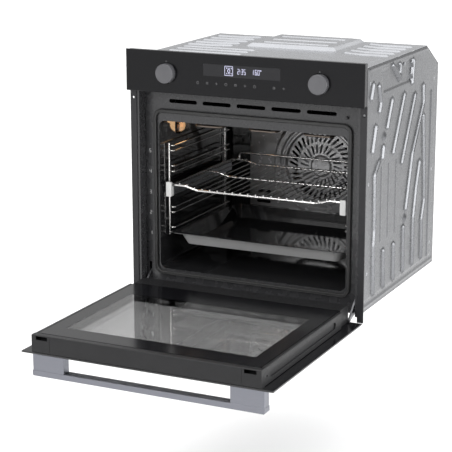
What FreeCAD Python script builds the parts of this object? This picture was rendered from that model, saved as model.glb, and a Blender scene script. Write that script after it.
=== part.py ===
import FreeCAD, Part
import math
import os

# A built-in wall oven, in millimetres. X runs to the right, Y runs into the oven and Z is up.
# Y = 0 is the front face of the chassis frame, and Z = 0 is the underside of the base panel.
# The door is modelled closed and is then turned down to its open pose about the hinge pins.

# ---- case -------------------------------------------------------------------------------
SHEET = 1.0
CASE_HALF = 280.0
CASE_FRONT = -29.0
CASE_TOP = 568.0
REAR_Y = 506.0
SLOPE_Y = 413.0
SLOPE_Z = 513.0
FRONT_HALF = 297.5
FRONT_Y = -52.0
FLANGE_BACK = -30.0
TRIM_BACK = -31.0
TRIM_FRONT = -34.0
TRIM_INNER = 281.5
TRIM_BOTTOM = -10.0
WALL_HALF = 277.0
CABINET_SCREW = (290.0, 468.0)
SCREW_HOLE_R = 2.75

# ---- control panel ----------------------------------------------------------------------
PANEL_TOP = 585.0
PANEL_BOTTOM = 487.5
GLASS = 4.0
KNOB_X = 190.8
KNOB_Z = 534.0
KNOB_R = 22.5
KNOB_HOLE_R = 24.0
SPINDLE_R = 3.0
RUNNING = 0.05

# ---- cavity -----------------------------------------------------------------------------
CAVITY_HALF = 240.0
CAVITY_FLOOR = 49.0
CAVITY_TOP = 411.0
CAVITY_REAR = 460.0
CAVITY_CORNER = 15.0
LINER = 1.5
LAMP_Y = 125.0
LAMP_Z = 379.0
LAMP_WINDOW = (LAMP_Y - 28, LAMP_Y + 28, LAMP_Z - 12, LAMP_Z + 12)
ELEMENT_R = 3.2
GRILL_Z = 394.0
BOTTOM_ELEMENT_Z = 41.0
PROBE_X = 70.0
PROBE_Z = 404.0

# ---- hot-air fan and its cover --------------------------------------------------------------
FAN_Z = 239.0
RING_R = 92.0
RING_Y = 441.0
LEAD_X = 14.0
COVER_Y = 440.0
COVER_HALF = 208.0
COVER_Z = (62.0, 386.0)
COVER_SHEET = 1.2
DOME_Y = 424.0
DOME_R = 136.0
GROOVE_Y = 427.5
LOUVRE_Y = 430.0

# ---- racks, shelf and tray ---------------------------------------------------------------
LEVEL_1 = 142.5
LEVEL_PITCH = 50.5
PAIR_GAP = 13.0
RACK_X = 234.5
LEVEL_X = 221.0
RACK_FRONT = 39.0
RACK_REAR = 347.0
RAIL_Z = 237.0
SHELF_FRONT = 27.0
SHELF_REAR = 362.0
SHELF_SIDE_X = 221.0
SHELF_RAISED = 251.5
SHELF_LOW = 243.0
GUARD_TOP = 271.0
TRAY_RIM = 132.0

# ---- door -------------------------------------------------------------------------------
DOOR_HALF = 271.0
DOOR_BOTTOM = -8.0
DOOR_TOP = 483.0
DOOR_BACK = -8.0
DOOR_SIDE = 9.0
BOTTOM_RAIL_TOP = 41.7
TOP_TRIM_BOTTOM = 466.3
HINGE_Y = -44.0
HINGE_Z = -4.5
PIN_R = 2.2
EYE_R = 3.7
ARM_X = (265.0, 269.0)
HANDLE_HALF = 275.0
HANDLE_TOP = 476.0
HANDLE_DEPTH = 24.0
HANDLE_REACH = 52.0
HANDLE_BAR = 13.0
POST_WIDTH = 78.0

# ---- cooling fan and services -------------------------------------------------------------
AIR_SLOTS = 5
AIR_SLOT = 73.0
AIR_SLOT_PITCH = 87.8
AIR_SLOT_Z = 460.0
DUCT_Z = (448.0, 474.0)
BLOWER_Y = 322.0
SWITCH_X = 238.0
SWITCH_Z = 454.0
PLUNGER_R = 3.5
INLET_X = -205.0
INLET_Z = 400.0
INLET_R = 5.5

# ---- screw positions: (Y, Z) on the sides, (X, Z) on the rear panel and the fan cover -------
SIDE_SCREWS = [(24, 530), (24, 300), (24, 90), (250, 545), (470, 480), (470, 250), (470, 60)]
REAR_SCREWS = [(-262, 490), (262, 490), (-262, 30), (262, 30)]
COVER_SCREWS = [(-196, 74), (196, 74), (-196, 374), (196, 374)]

V = FreeCAD.Vector
LEFT_RIGHT = (-1, 1)


# ---- shape helpers ----------------------------------------------------------------------
def box(x0, x1, y0, y1, z0, z1):
    """A block between two X, two Y and two Z values, given in any order."""
    xs, ys, zs = sorted((x0, x1)), sorted((y0, y1)), sorted((z0, z1))
    return Part.makeBox(xs[1] - xs[0], ys[1] - ys[0], zs[1] - zs[0], V(xs[0], ys[0], zs[0]))


def rod(radius, start, end):
    """A round bar from one point to another."""
    a, b = V(*start), V(*end)
    return Part.makeCylinder(radius, (b - a).Length, a, b - a)


def join(shapes):
    shapes = list(shapes)
    return shapes[0].multiFuse(shapes[1:]).removeSplitter() if len(shapes) > 1 else shapes[0]


def extrude(points, direction):
    """A prism on a closed outline of points."""
    wire = Part.makePolygon([V(*p) for p in points] + [V(*points[0])])
    return Part.Face(wire).extrude(V(*direction))


def rounded_block(x0, x1, y0, y1, z0, z1, radius, axis):
    """A block whose four edges along one axis are rounded."""
    block = box(x0, x1, y0, y1, z0, z1)
    along = [e for e in block.Edges if abs(getattr(e.tangentAt(0), axis)) > 0.9]
    return block.makeFillet(radius, along)


def bent_path(points, bend):
    """Straight runs joined by tangent arcs of one bend radius."""
    pts = [V(*p) for p in points]
    edges = []
    start = pts[0]
    for before, corner, after in zip(pts, pts[1:], pts[2:]):
        into = (corner - before).normalize()
        out = (after - corner).normalize()
        turn = into.getAngle(out)
        setback = bend * math.tan(turn / 2)
        a = corner - into * setback
        b = corner + out * setback
        middle = (out - into).normalize()
        centre_distance = bend / math.cos(turn / 2)
        m = corner + middle * (centre_distance - bend)
        edges.append(Part.LineSegment(start, a).toShape())
        edges.append(Part.Arc(a, m, b).toShape())
        start = b
    edges.append(Part.LineSegment(start, pts[-1]).toShape())
    return Part.Wire(edges)


def bent_wire(points, radius, bend):
    """A round wire or tube element bent along the given corner points."""
    path = bent_path(points, bend)
    first, second = V(*points[0]), V(*points[1])
    profile = Part.Wire(Part.makeCircle(radius, first, second - first))
    return path.makePipeShell([profile], True, False)


def mirror_x(shape):
    return shape.mirror(V(0, 0, 0), V(1, 0, 0))


def save(name, shapes):
    """Write one node. Several shapes stay separate solids in the same node."""
    shapes = shapes if isinstance(shapes, list) else [shapes]
    solids = [s for shape in shapes for s in shape.Solids]
    for s in solids:
        if not s.isValid() or s.Volume <= 0:
            print("bad solid in", name, s.isValid(), s.Volume)
    shape = solids[0] if len(solids) == 1 else Part.makeCompound(solids)
    shape.exportStep("parts/" + name + ".step")


def open_door(shape):
    """Turn a door piece from closed to the open pose about the hinge pins."""
    turned = shape.copy()
    turned.rotate(V(0, HINGE_Y, HINGE_Z), V(1, 0, 0), 90)
    return turned


# ---- case -------------------------------------------------------------------------------
def side_panel(side):
    """A sheet side with a folded top flange."""
    rear, slope_y, slope_z, top = REAR_Y - 1.5, SLOPE_Y - 1.5, SLOPE_Z - 1.5, CASE_TOP - 1.5
    outline = [(0, CASE_FRONT, 1.5), (0, rear, 1.5), (0, rear, slope_z), (0, slope_y, top),
               (0, CASE_FRONT, top)]
    sheet = extrude(outline, (SHEET, 0, 0))
    sheet.translate(V(CASE_HALF - SHEET, 0, 0))
    flange = box(CASE_HALF - 14, CASE_HALF - SHEET, 4, slope_y - 1.5, top - SHEET, top)
    holes = [rod(2.1, (270, y, z), (290, y, z)) for y, z in SIDE_SCREWS]
    panel = join([sheet, flange]).cut(holes)
    return panel if side > 0 else mirror_x(panel)


def top_cover():
    """The flat cover with stiffening beads and the raised part over the cooling fan."""
    sheet = box(-CASE_HALF, CASE_HALF, CASE_FRONT, SLOPE_Y - 1, CASE_TOP - SHEET, CASE_TOP)
    raised = rounded_block(-125, 125, 190, 396, CASE_TOP - SHEET, CASE_TOP + 7, 12, "z")
    hollow = rounded_block(-124, 124, 191, 395, CASE_TOP - SHEET - 1, CASE_TOP + 6, 11, "z")
    beads = [box(-250, 250, y, y + 9, CASE_TOP, CASE_TOP + 2.5) for y in (30, 75, 120)]
    beads += [box(s * 165, s * 250, y, y + 9, CASE_TOP, CASE_TOP + 2.5)
              for s in LEFT_RIGHT for y in (190, 240, 290, 340)]
    return join([sheet, raised] + beads).cut(hollow)


def rear_panel():
    """The back of the case, bent forward at the top into a sloping louvred part."""
    outline = [(0, REAR_Y, 0), (0, REAR_Y, SLOPE_Z), (0, SLOPE_Y, CASE_TOP),
               (0, SLOPE_Y - 0.5, CASE_TOP - 0.9), (0, REAR_Y - SHEET, SLOPE_Z - 0.6), (0, REAR_Y - SHEET, 0)]
    sheet = extrude(outline, (2 * CASE_HALF, 0, 0))
    sheet.translate(V(-CASE_HALF, 0, 0))
    cuts = [rod(2.1, (x, 500, z), (x, 510, z)) for x, z in REAR_SCREWS]
    cuts.append(rod(INLET_R + 5.2, (INLET_X, 500, INLET_Z), (INLET_X, 510, INLET_Z)))
    for row in range(2):
        for i in range(9):
            slot = box(-22, 22, -10, 10, -2.5, 2.5)
            slot.rotate(V(0, 0, 0), V(1, 0, 0), -59.4)
            slot.translate(V(-224 + 56 * i, 480 - 34 * row, 528.4 + 20.1 * row))
            cuts.append(slot)
    for i in range(12):
        cuts.append(box(-130 + 22 * i, -122 + 22 * i, 500, 510, 430, 490))
    return sheet.cut(cuts)


def base_panel():
    sheet = box(-CASE_HALF, CASE_HALF, -2, REAR_Y - 1.5, 0, 1.2)
    lips = [box(s * 262, s * 274, 120, 500, 1.2, 2.2) for s in LEFT_RIGHT]
    return join([sheet] + lips)


def frame_side_wall():
    """The right wall in front of the frame plate, with its flange against the cabinet."""
    wall = box(WALL_HALF - 1.2, WALL_HALF, FLANGE_BACK, 0.6, 2, 566)
    flange = box(WALL_HALF - 1.2, FRONT_HALF - 1.5, TRIM_BACK, FLANGE_BACK, 2, 566)
    return join([wall, flange])


def front_frame():
    """The chassis frame: plate with the oven mouth, air slots, hinge slots and side walls."""
    plate = box(-WALL_HALF, WALL_HALF, 0, 1.2, 2, 566)
    wall = frame_side_wall()
    mouth = rounded_block(-CAVITY_HALF, CAVITY_HALF, -5, 5, CAVITY_FLOOR, CAVITY_TOP, CAVITY_CORNER, "y")
    cuts = [mouth]
    for i in range(AIR_SLOTS):
        x = (i - (AIR_SLOTS - 1) / 2) * AIR_SLOT_PITCH
        slot = rounded_block(x - AIR_SLOT / 2, x + AIR_SLOT / 2, -5, 5,
                             AIR_SLOT_Z - 4.5, AIR_SLOT_Z + 4.5, 4.4, "y")
        cuts.append(slot)
    for s in LEFT_RIGHT:
        cuts.append(box(s * (ARM_X[0] - 1), s * (ARM_X[1] + 1), -5, 5, 4, 62))
        x, z = s * CABINET_SCREW[0], CABINET_SCREW[1]
        cuts.append(rod(SCREW_HOLE_R, (x, -40, z), (x, -20, z)))
        cuts.append(box(s * KNOB_X - 22, s * KNOB_X + 22, -5, 5, KNOB_Z - 22, KNOB_Z + 22))
    cuts.append(rod(PLUNGER_R + RUNNING, (SWITCH_X, -5, SWITCH_Z), (SWITCH_X, 5, SWITCH_Z)))
    return join([plate, wall, mirror_x(wall)]).cut(cuts)


def side_trim(side):
    """A trim strip with the countersunk hole for the screw into the cabinet."""
    strip = rounded_block(TRIM_INNER, FRONT_HALF, TRIM_FRONT, TRIM_BACK, TRIM_BOTTOM, 487, 1.2, "z")
    x, z = CABINET_SCREW
    hole = rod(SCREW_HOLE_R, (x, -40, z), (x, -20, z))
    sink = Part.makeCone(5.0, SCREW_HOLE_R, 1.8, V(x, TRIM_FRONT, z), V(0, 1, 0))
    strip = strip.cut([hole, sink])
    return strip if side > 0 else mirror_x(strip)


def screws():
    """Pan head screws of the case and of the fan cover, each a separate solid."""
    made = []
    for y, z in SIDE_SCREWS:
        for s in LEFT_RIGHT:
            made.append(screw((s * CASE_HALF, y, z), (s, 0, 0)))
    for x, z in REAR_SCREWS:
        made.append(screw((x, REAR_Y, z), (0, 1, 0)))
    for x, z in COVER_SCREWS:
        made.append(screw((x, COVER_Y, z), (0, -1, 0)))
    return made


def screw(seat, outward):
    """One screw: its head stands out from the seat and its shank goes in."""
    p, out = V(*seat), V(*outward)
    head = Part.makeCylinder(4.0, 2.2, p, out)
    shank = Part.makeCylinder(2.0, 8.0, p - out * 8.0, out)
    recess = Part.makeCylinder(1.2, 1.4, p + out * 1.0, out)
    return join([head, shank]).cut(recess)


# ---- control panel ----------------------------------------------------------------------
def knob_holes(y0, y1):
    return [rod(KNOB_HOLE_R, (s * KNOB_X, y0, KNOB_Z), (s * KNOB_X, y1, KNOB_Z)) for s in LEFT_RIGHT]


def control_panel_glass():
    glass = box(-FRONT_HALF, FRONT_HALF, FRONT_Y, FRONT_Y + GLASS, PANEL_BOTTOM, PANEL_TOP)
    front = [e for e in glass.Edges if abs(e.CenterOfMass.y - FRONT_Y) < 0.01]
    return glass.makeChamfer(0.8, front).cut(knob_holes(-60, -40))


def panel_carrier():
    """A box behind the panel glass, with a window for the display and an open lower back."""
    outer = box(-295.5, 295.5, FRONT_Y + GLASS, TRIM_BACK, 489, 583.5)
    inner = box(-293, 293, -46.3, TRIM_BACK - 1.5, 491.5, 581)
    back = box(-272, 272, TRIM_BACK - 3, TRIM_BACK + 1, 495, 564)
    window = box(-98, 98, -50, -40, 532, 564.5)
    return outer.cut([inner, back, window] + knob_holes(-60, -40))


def display_module():
    return rounded_block(-96, 96, -46.2, -39, 533.5, 563, 2, "y")


def control_board():
    board = box(-150, 150, -37.5, -35.9, 497, 577)
    parts = [box(x, x + 18, -38.9, -37.5, 502, 516) for x in (-120, -60, 0, 60, 110)]
    parts += [rod(6, (x, -35.9, 555), (x, -14, 555)) for x in (-110, -80, 95)]
    relays = [box(x, x + 20, -35.9, -19, 505, 533) for x in (-100, -70, -40)]
    return join([board] + parts + relays)


def knob(side):
    """A knob shell with a hub that slides along its spindle when it is pushed in."""
    x = side * KNOB_X
    front = -66.0
    body = rod(KNOB_R, (x, front, KNOB_Z), (x, -47, KNOB_Z))
    rim = [e for e in body.Edges if abs(e.CenterOfMass.y - front) < 0.01]
    body = body.makeFillet(1.4, rim)
    hollow = rod(KNOB_R - 2.5, (x, front + 2.5, KNOB_Z), (x, -47, KNOB_Z))
    hub = rod(6.5, (x, front + 1, KNOB_Z), (x, -42, KNOB_Z))
    bore = rod(SPINDLE_R + RUNNING, (x, -63, KNOB_Z), (x, -42, KNOB_Z))
    return join([body.cut(hollow), hub]).cut(bore)


def knob_spindle(side):
    """The turning shaft of a selector, with its rotor inside the switch."""
    x = side * KNOB_X
    shaft = rod(SPINDLE_R, (x, -50, KNOB_Z), (x, -8, KNOB_Z))
    rotor = rod(9, (x, -22, KNOB_Z), (x, -12, KNOB_Z))
    return join([shaft, rotor])


def selector_switches():
    """Two rotary switch housings behind the knobs."""
    made = []
    for s in LEFT_RIGHT:
        x = s * KNOB_X
        body = box(x - 20, x + 20, -28, -5, KNOB_Z - 20, KNOB_Z + 20)
        chamber = rod(9.5, (x, -22.5, KNOB_Z), (x, -11.5, KNOB_Z))
        bore = rod(SPINDLE_R + RUNNING, (x, -30, KNOB_Z), (x, -7.5, KNOB_Z))
        made.append(body.cut([chamber, bore]))
    return made


# ---- cavity -----------------------------------------------------------------------------

def liner_block(offset, rear):
    """The cavity volume grown by an offset, with rounded long edges."""
    return rounded_block(-CAVITY_HALF - offset, CAVITY_HALF + offset, 1.2, rear,
                         CAVITY_FLOOR - offset, CAVITY_TOP + offset, CAVITY_CORNER + offset, "y")


def cavity_liner():
    """The enamelled cavity, with a flange behind the frame plate."""
    outer = liner_block(LINER, CAVITY_REAR + LINER)
    flange = box(-256, 256, 1.2, 2.7, 33, 427)
    inner = liner_block(0, CAVITY_REAR)
    rear_holes = [rod(9, (0, 450, FAN_Z), (0, 470, FAN_Z))]
    rear_holes += [rod(4.5, (x, 450, GRILL_Z), (x, 470, GRILL_Z)) for x in (-25, 25)]
    lead_z = FAN_Z + RING_R
    rear_holes += [rod(5.5, (s * LEAD_X, 450, lead_z), (s * LEAD_X, 470, lead_z)) for s in LEFT_RIGHT]
    rear_holes.append(rod(3, (PROBE_X, 450, PROBE_Z), (PROBE_X, 470, PROBE_Z)))
    y0, y1, z0, z1 = LAMP_WINDOW
    lamp = box(-CAVITY_HALF - 5, -CAVITY_HALF + 5, y0, y1, z0, z1)
    return join([outer, flange]).cut([inner, lamp] + rear_holes)


def insulation():
    """The blanket round the cavity, with room for the lamp, the lower element and the motor."""
    outer = box(-262, 262, 3, 482, 16, 436)
    inner = box(-241.7, 241.7, 0, 461.7, 35, 412.7)
    lamp = box(-300, -230, LAMP_Y - 42, LAMP_Y + 42, LAMP_Z - 24, LAMP_Z + 24)
    motor = rod(42, (0, 450, FAN_Z), (0, 490, FAN_Z))
    leads = [rod(6, (x, 450, z), (x, 490, z))
             for x, z in ((-25, GRILL_Z), (25, GRILL_Z), (-LEAD_X, FAN_Z + RING_R),
                          (LEAD_X, FAN_Z + RING_R), (PROBE_X, PROBE_Z), (-60, BOTTOM_ELEMENT_Z),
                          (60, BOTTOM_ELEMENT_Z))]
    return outer.cut([inner, lamp, motor] + leads)


def door_seal():
    """The round-cornered seal ring on the frame."""
    outer = rounded_block(-252.5, 252.5, -7.6, 0, 36, 440, 22, "y")
    inner = rounded_block(-244.5, 244.5, -9, 1, 44, 431, 14, "y")
    ring = outer.cut(inner)
    front = [e for e in ring.Edges if abs(e.CenterOfMass.y + 7.6) < 0.01]
    return ring.makeFillet(2.6, front)


def dome():
    """The round raised part of the fan cover: a grooved ring round a sunken louvred disc."""
    t = COVER_SHEET
    front = [(DOME_R + 2, COVER_Y), (DOME_R, COVER_Y), (130, DOME_Y + 3), (126, DOME_Y), (114, DOME_Y),
             (110, GROOVE_Y), (106, GROOVE_Y), (102, DOME_Y), (98, DOME_Y), (93, LOUVRE_Y),
             (29, LOUVRE_Y), (24, LOUVRE_Y - 3), (0, LOUVRE_Y - 3)]
    back = [(0, LOUVRE_Y - 3 + t), (23.4, LOUVRE_Y - 3 + t), (28.4, LOUVRE_Y + t), (94.2, LOUVRE_Y + t),
            (99.2, DOME_Y + t), (101.2, DOME_Y + t), (105.2, GROOVE_Y + t), (110.8, GROOVE_Y + t),
            (114.8, DOME_Y + t), (125.2, DOME_Y + t), (128.7, DOME_Y + 4), (DOME_R - 1.4, COVER_Y + t),
            (DOME_R + 2, COVER_Y + t)]
    outline = [V(r, y, FAN_Z) for r, y in front + back]
    face = Part.Face(Part.makePolygon(outline + [outline[0]]))
    return face.revolve(V(0, 0, FAN_Z), V(0, 1, 0), 360)


def louvres(count, r0, r1, width, swirl):
    """A ring of slots in the dome, each turned a little from the radius."""
    cuts = []
    for i in range(count):
        slot = rounded_block(r0, r1, 420, 435, FAN_Z - width / 2, FAN_Z + width / 2, width / 2 - 0.1, "y")
        slot.rotate(V((r0 + r1) / 2, 0, FAN_Z), V(0, 1, 0), swirl)
        slot.rotate(V(0, 0, FAN_Z), V(0, 1, 0), 360 * i / count)
        cuts.append(slot)
    return cuts


def fan_cover():
    """The rear air baffle: a shallow pan with outlet slots, and the dome over the fan."""
    z0, z1 = COVER_Z
    t = COVER_SHEET
    h = COVER_HALF
    outer = rounded_block(-h, h, COVER_Y, CAVITY_REAR - 0.3, z0, z1, 18, "y")
    front = [e for e in outer.Edges if abs(e.CenterOfMass.y - COVER_Y) < 0.01]
    outer = outer.makeFillet(6, front)
    inner = rounded_block(-h + t, h - t, COVER_Y + t, CAVITY_REAR + 1, z0 + t, z1 - t, 18 - t, "y")
    inner_front = [e for e in inner.Edges if abs(e.CenterOfMass.y - COVER_Y - t) < 0.01]
    inner = inner.makeFillet(6 - t, inner_front)
    mouth = rod(DOME_R, (0, COVER_Y - 5, FAN_Z), (0, COVER_Y + 5, FAN_Z))
    cover = join([outer.cut([inner, mouth]), dome()])
    cuts = louvres(24, 34, 58, 5.0, 14) + louvres(36, 62, 89, 6.4, 20)
    for s in LEFT_RIGHT:
        for z in (350, 322, 156, 128):
            x = sorted((s * 146, s * 186))
            cuts.append(rounded_block(x[0], x[1], COVER_Y - 5, COVER_Y + 5, z - 4, z + 4, 3.9, "y"))
    cuts += [rod(2.1, (x, COVER_Y - 5, z), (x, COVER_Y + 5, z)) for x, z in COVER_SCREWS]
    return cover.cut(cuts)


def convection_fan():
    """The hot-air wheel: back disc, blades, hub and shaft."""
    disc = rod(74, (0, 449, FAN_Z), (0, 450.2, FAN_Z))
    hub = rod(11, (0, 434, FAN_Z), (0, 452, FAN_Z))
    shaft = rod(4, (0, 433, FAN_Z), (0, 496, FAN_Z))
    blades = []
    for i in range(14):
        blade = box(30, 73, 434, 449.5, FAN_Z - 0.6, FAN_Z + 0.6)
        blade.rotate(V(0, 0, FAN_Z), V(0, 1, 0), 360 * i / 14)
        blades.append(blade)
    return join([disc, hub, shaft] + blades)


def fan_motor():
    """The fan motor behind the cavity, on two straps."""
    can = rod(38, (0, 463.5, FAN_Z), (0, 500, FAN_Z))
    straps = box(-58, 58, 463.5, 465, FAN_Z - 10, FAN_Z + 10)
    bore = rod(4 + RUNNING, (0, 450, FAN_Z), (0, 497, FAN_Z))
    return join([can, straps.common(rod(41.5, (0, 460, FAN_Z), (0, 470, FAN_Z)))]).cut(bore)


def ring_element():
    """The round hot-air element about the fan, with its two leads through the rear wall."""
    gap = math.degrees(math.asin(LEAD_X / RING_R))
    centre = V(0, RING_Y, FAN_Z)
    arc = Part.makeCircle(RING_R, centre, V(0, 1, 0), 0, 360 - 2 * gap)
    start, end = [v.Point for v in arc.Vertexes]
    profile = Part.Wire(Part.makeCircle(ELEMENT_R, start, arc.tangentAt(arc.FirstParameter)))
    ring = Part.Wire(arc).makePipeShell([profile], True, False)
    middle = math.degrees(math.atan2(start.z + end.z - 2 * FAN_Z, start.x + end.x))
    ring.rotate(centre, V(0, 1, 0), middle - 90)
    z = FAN_Z + RING_R * math.cos(math.radians(gap))
    leads = [rod(ELEMENT_R, (s * LEAD_X, RING_Y, z), (s * LEAD_X, 474, z)) for s in LEFT_RIGHT]
    knees = [Part.makeSphere(ELEMENT_R, V(s * LEAD_X, RING_Y, z)) for s in LEFT_RIGHT]
    return join([ring] + leads + knees)


def grill_element():
    xy = [(-25, 474), (-25, 405), (-175, 405), (-175, 60), (-105, 60), (-105, 365), (-35, 365), (-35, 60),
          (35, 60), (35, 365), (105, 365), (105, 60), (175, 60), (175, 405), (25, 405), (25, 474)]
    return bent_wire([(x, y, GRILL_Z) for x, y in xy], ELEMENT_R, 15)


def bottom_element():
    xy = [(-60, 474), (-60, 410), (-170, 410), (-170, 80), (-90, 80), (-90, 360), (90, 360),
          (90, 80), (170, 80), (170, 410), (60, 410), (60, 474)]
    return bent_wire([(x, y, BOTTOM_ELEMENT_Z) for x, y in xy], ELEMENT_R, 20)


def lamp_housing():
    outer = box(-276, -241.6, LAMP_Y - 34, LAMP_Y + 34, LAMP_Z - 18, LAMP_Z + 18)
    inner = box(-274.8, -240, LAMP_Y - 32.8, LAMP_Y + 32.8, LAMP_Z - 16.8, LAMP_Z + 16.8)
    socket = rod(9, (-275, LAMP_Y, LAMP_Z), (-262, LAMP_Y, LAMP_Z))
    seat = rod(3.4, (-268, LAMP_Y, LAMP_Z), (-261, LAMP_Y, LAMP_Z))
    return join([outer.cut(inner), socket]).cut(seat)


def lamp_bulb():
    bulb = rod(6.5, (-261.9, LAMP_Y, LAMP_Z), (-249, LAMP_Y, LAMP_Z))
    tip = Part.makeSphere(6.5, V(-249, LAMP_Y, LAMP_Z))
    base = rod(3.3, (-267.9, LAMP_Y, LAMP_Z), (-261.9, LAMP_Y, LAMP_Z))
    return join([bulb, tip, base])


def lamp_glass():
    outer = rounded_block(-CAVITY_HALF, -234, LAMP_Y - 34, LAMP_Y + 34, LAMP_Z - 17, LAMP_Z + 17, 10, "x")
    inner = rounded_block(-CAVITY_HALF - 1, -237, LAMP_Y - 27, LAMP_Y + 27, LAMP_Z - 11, LAMP_Z + 11, 8, "x")
    front = [e for e in outer.Edges if abs(e.CenterOfMass.x + 234) < 0.01]
    return outer.makeFillet(2, front).cut(inner)


def temperature_probe():
    stem = rod(2.5, (PROBE_X, 370, PROBE_Z), (PROBE_X, 474, PROBE_Z))
    return join([stem, Part.makeSphere(2.5, V(PROBE_X, 370, PROBE_Z))])


# ---- racks, rails, shelf and tray ---------------------------------------------------------
def level_heights(level):
    top = LEVEL_1 + (level - 1) * LEVEL_PITCH
    return (top, top - PAIR_GAP)


def side_rack():
    """The right wire rack: two uprights, pairs of level wires and the wall pins."""
    wires = [rod(2.5, (RACK_X, y, 124), (RACK_X, y, 350)) for y in (RACK_FRONT, RACK_REAR)]
    for level in (1, 2, 4, 5):
        for z in level_heights(level):
            corners = [(RACK_X, RACK_FRONT, z), (LEVEL_X, RACK_FRONT, z),
                       (LEVEL_X, RACK_REAR, z), (RACK_X, RACK_REAR, z)]
            wires.append(bent_wire(corners, 2, 6))
    for y in (RACK_FRONT, RACK_REAR):
        for z in (163, 313):
            wires.append(rod(3, (RACK_X, y, z), (CAVITY_HALF - 0.3, y, z)))
    return join(wires)


def rail_outer():
    """The fixed profile of the right telescopic rail, with its clips on the uprights."""
    bar = box(227.6, 231.4, 30, 352, RAIL_Z - 9, RAIL_Z + 9)
    groove = box(227.6, 229.4, 30, 352, RAIL_Z - 6, RAIL_Z + 6)
    clips = [box(231.4, 232.6, y - 8, y + 8, RAIL_Z - 9, RAIL_Z + 9) for y in (RACK_FRONT, RACK_REAR)]
    uprights = [rod(2.55, (RACK_X, y, 200), (RACK_X, y, 280)) for y in (RACK_FRONT, RACK_REAR)]
    return join([bar.cut(groove)] + clips).cut(uprights)


def rail_middle():
    """The middle profile of the right rail."""
    web = box(223.0, 225.2, 32, 348, RAIL_Z - 8, RAIL_Z + 8)
    bead = box(225.2, 228.8, 32, 348, RAIL_Z - 5.4, RAIL_Z + 5.4)
    return join([web, bead])


def rail_runner():
    """The inner runner of the right rail, which carries the shelf."""
    web = box(217.5, 220.5, 28, 352, RAIL_Z - 11, RAIL_Z + 11)
    top = box(217.5, 222.4, 28, 352, RAIL_Z + 8.6, RAIL_Z + 11)
    bottom = box(217.5, 222.4, 28, 352, RAIL_Z - 11, RAIL_Z - 8.6)
    return join([web, top, bottom])


def rail_end_block():
    """The moulded stop on the front of the right runner."""
    block = rounded_block(217, 231, 15, 27.9, RAIL_Z - 13, 248.2, 2, "y")
    horn = rounded_block(217, 231, 15, 20, 245, 259, 1.5, "y")
    return join([block, horn])


def shelf_height(x):
    """Height of the shelf bars across the shelf: raised at both sides, low in the middle."""
    rise = min(max((abs(x) - 152) / 34, 0), 1)
    return SHELF_LOW + rise * (SHELF_RAISED - SHELF_LOW)


def shelf_crossing(y):
    """The corner points of a bar that crosses the shelf from left to right."""
    xs = (-SHELF_SIDE_X, -186, -152, 152, 186, SHELF_SIDE_X)
    return [(x, y, shelf_height(x)) for x in xs]


def wire_shelf():
    sides = [(-SHELF_SIDE_X, SHELF_REAR, SHELF_RAISED)] + shelf_crossing(SHELF_FRONT)
    sides.append((SHELF_SIDE_X, SHELF_REAR, SHELF_RAISED))
    wires = [bent_wire(sides, 3, 9)]
    wires.append(bent_wire(shelf_crossing(SHELF_REAR), 3, 9))
    wires += [Part.makeSphere(3, V(s * SHELF_SIDE_X, SHELF_REAR, SHELF_RAISED)) for s in LEFT_RIGHT]
    wires.append(bent_wire(shelf_crossing(200), 2.5, 9))
    for i in range(-10, 11):
        x = 20 * i
        z = shelf_height(x) + 3.9
        wires.append(rod(1.5, (x, SHELF_FRONT - 1, z), (x, SHELF_REAR + 1, z)))
    guard = [(-200, SHELF_REAR, 252), (-200, SHELF_REAR, GUARD_TOP), (200, SHELF_REAR, GUARD_TOP),
             (200, SHELF_REAR, 252)]
    wires.append(bent_wire(guard, 2.5, 9))
    return join(wires)


def tray_outline(x, y0, y1, z, radius):
    """A rectangle with rounded corners at one height."""
    block = rounded_block(-x, x, y0, y1, z, z + 1, radius, "z")
    face = min(block.Faces, key=lambda f: f.CenterOfMass.z)
    return face.OuterWire


def baking_tray():
    rim = rounded_block(-226, 226, 24, 378, TRAY_RIM, TRAY_RIM + 1.2, 14, "z")
    outer = Part.makeLoft([tray_outline(198, 56, 350, 101, 12),
                           tray_outline(214, 38, 366, TRAY_RIM + 1.2, 22)], True)
    inner = Part.makeLoft([tray_outline(196.8, 57.2, 348.8, 102.2, 11),
                           tray_outline(213.4, 38.6, 365.4, TRAY_RIM + 2.4, 21.4)], True)
    return join([rim, outer]).cut(inner)


# ---- door (modelled closed) ---------------------------------------------------------------
def door_outer_glass():
    glass = box(-FRONT_HALF, FRONT_HALF, FRONT_Y, FRONT_Y + GLASS, DOOR_BOTTOM, DOOR_TOP)
    front = [e for e in glass.Edges if abs(e.CenterOfMass.y - FRONT_Y) < 0.01]
    return glass.makeChamfer(0.8, front)


def door_middle_glass():
    return box(-258, 258, -31, -28, BOTTOM_RAIL_TOP + 0.1, 455)


def door_inner_glass():
    return box(-DOOR_HALF + DOOR_SIDE, DOOR_HALF - DOOR_SIDE, DOOR_BACK - GLASS, DOOR_BACK,
               BOTTOM_RAIL_TOP + 0.3, TOP_TRIM_BOTTOM - 0.3)


def door_side():
    """The right side profile of the door, cut short above the hinge arm."""
    inner_x = DOOR_HALF - DOOR_SIDE + 0.3
    bar = rounded_block(inner_x, DOOR_HALF, FRONT_Y + GLASS, DOOR_BACK, 52, TOP_TRIM_BOTTOM, 2.5, "z")
    recess = rounded_block(DOOR_HALF - 3, DOOR_HALF + 5, -36, -20, 86, 440, 7.9, "x")
    hole = rod(2.5, (260, -28, 456), (280, -28, 456))
    return bar.cut([recess, hole])


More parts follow.
